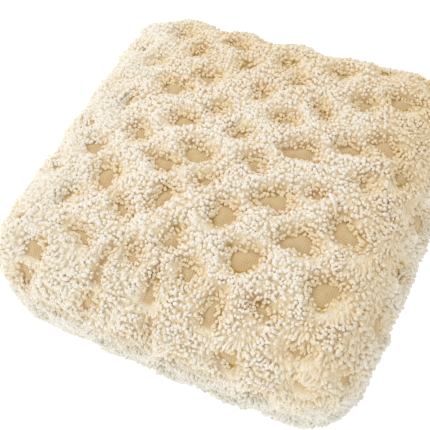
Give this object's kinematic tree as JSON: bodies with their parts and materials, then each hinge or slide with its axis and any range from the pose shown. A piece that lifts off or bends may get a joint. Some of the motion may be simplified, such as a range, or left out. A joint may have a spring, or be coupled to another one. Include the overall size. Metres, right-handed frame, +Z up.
{
  "type": "square floor pouf",
  "caption": "Low square floor pouf with a crowned top and full sides, covered in hand-knotted wool shag with a staggered field of bare woven pits, on a flat canvas base.",
  "frame": {"origin": "centre of the outline, on the surface that the pouf rests on", "axes": "+Z up, front towards -Y, right side towards +X"},
  "size_m": [0.5988, 0.597, 0.2419],
  "materials": {
    "woven_ground": "plain-woven undyed wool, matt",
    "shag": "hand-spun ivory wool pile, matt with a soft sheen",
    "canvas": "plain cotton canvas, matt"
  },
  "bodies": {
    "root": {"filled_body": "woven_ground", "top_panel": "shag", "front_panel": "shag", "right_panel": "shag", "back_panel": "shag", "left_panel": "shag", "base_panel": "canvas"}
  },
  "joints": []
}
